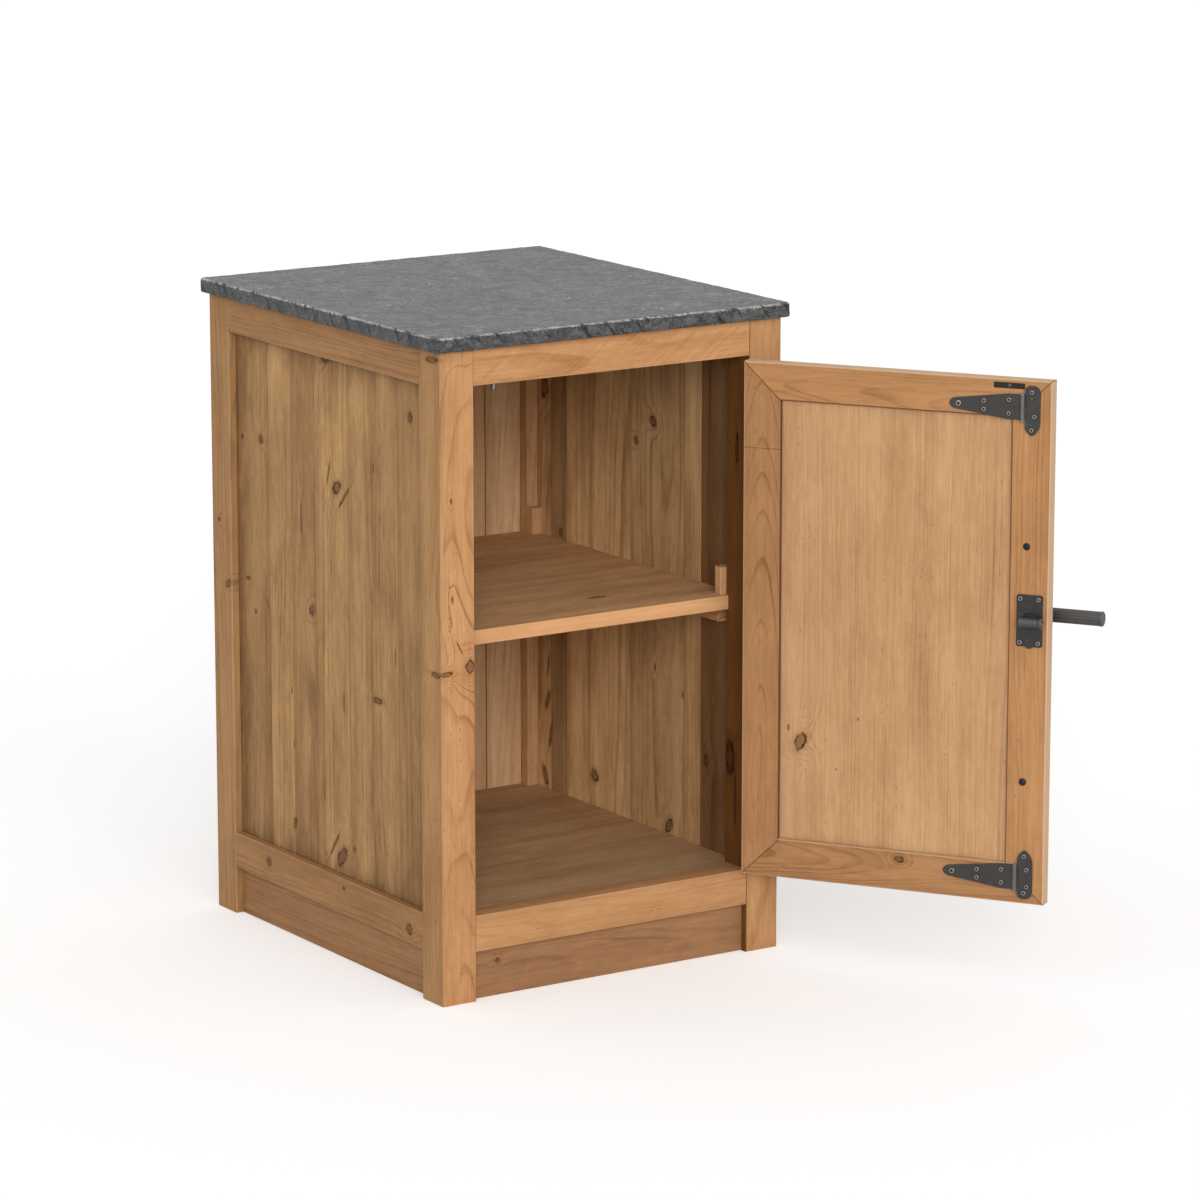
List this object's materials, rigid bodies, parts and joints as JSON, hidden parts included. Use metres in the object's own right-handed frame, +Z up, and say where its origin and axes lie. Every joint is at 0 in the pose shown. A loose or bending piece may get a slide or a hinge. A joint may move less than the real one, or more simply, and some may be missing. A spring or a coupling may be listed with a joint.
{
  "type": "kitchen base cabinet",
  "caption": "Free-standing kitchen base cabinet with a stone worktop, tongued board walls, an inner shelf and a hinged panel door that fastens with a turning latch.",
  "frame": {"origin": "on the floor, at the middle of the underside of the front plinth", "axes": "+Z up, -Y out of the front, +X towards the side that the door is hinged on"},
  "size_m": [0.7993, 1.0275, 0.9],
  "materials": {
    "frame_pine": "oiled, worn arrises",
    "wall_pine": "weathered, matt",
    "inner_pine": "bare, matt",
    "panel_pine": "fine straight grain, matt",
    "door_pine": "oiled, worn arrises",
    "worktop_stone": "riven grey slate, satin",
    "hinge_iron": "dark graphite, satin",
    "screw_steel": "worn, satin",
    "bright_steel": "satin",
    "catch_plastic": "matt black",
    "bumper_rubber": "glossy black"
  },
  "bodies": {
    "cabinet": {"post_front_left": "frame_pine", "post_front_right": "frame_pine", "post_back_left": "frame_pine", "post_back_right": "frame_pine", "rail_front_top": "frame_pine", "rail_front_bottom": "frame_pine", "rail_back_top": "frame_pine", "rail_back_bottom": "frame_pine", "rail_left_top": "frame_pine", "rail_left_bottom": "frame_pine", "rail_right_top": "frame_pine", "rail_right_bottom": "frame_pine", "plinth_front": "frame_pine", "plinth_back": "frame_pine", "plinth_left": "frame_pine", "plinth_right": "frame_pine", "left_wall_boards": "wall_pine", "right_wall_boards": "wall_pine", "back_wall_boards": "wall_pine", "floor_boards": "inner_pine", "floor_cleat_left": "inner_pine", "floor_cleat_right": "inner_pine", "shelf": "inner_pine", "shelf_cleat_left": "inner_pine", "shelf_cleat_right": "inner_pine", "shelf_blocks": "inner_pine", "stone_worktop": "worktop_stone", "hinge_leaf_top": "hinge_iron", "hinge_leaf_bottom": "hinge_iron", "hinge_leaf_screws": "screw_steel", "catch_body": "catch_plastic", "catch_peg": "bright_steel", "catch_screws": "screw_steel"},
    "door": {"door_stile_latch_side": "door_pine", "door_stile_hinge_side": "door_pine", "door_rail_top": "door_pine", "door_rail_bottom": "door_pine", "door_panel": "panel_pine", "hinge_strap_top": "hinge_iron", "hinge_strap_bottom": "hinge_iron", "hinge_strap_screws": "screw_steel", "hinge_pins": "bright_steel", "inner_leaf_top": "hinge_iron", "inner_leaf_bottom": "hinge_iron", "inner_strap_top": "hinge_iron", "inner_strap_bottom": "hinge_iron", "inner_hinge_pins": "bright_steel", "inner_hinge_screws": "screw_steel", "latch_plate_inner": "hinge_iron", "latch_plate_outer": "hinge_iron", "latch_rose_inner": "hinge_iron", "latch_rose_outer": "hinge_iron", "latch_plate_screws": "screw_steel", "catch_plate": "bright_steel", "catch_plate_screw": "screw_steel", "door_bumper": "bumper_rubber", "stile_cap_screw": "screw_steel"},
    "latch": {"latch_spindle": "bright_steel", "latch_lever_inner": "hinge_iron", "latch_grip_outer": "hinge_iron"}
  },
  "joints": [
    {"name": "door_hinge", "type": "hinge", "parent": "cabinet", "child": "door", "pos_m": [0.217, -0.0258, 0.475], "axis": [0, 0, 1], "range_deg": [-124, 41]},
    {"name": "latch_turn", "type": "hinge", "parent": "door", "child": "latch", "pos_m": [0.43288, -0.37232, 0.5075], "axis": [0.829, 0.5592, 0], "range_deg": [0, 90]}
  ]
}
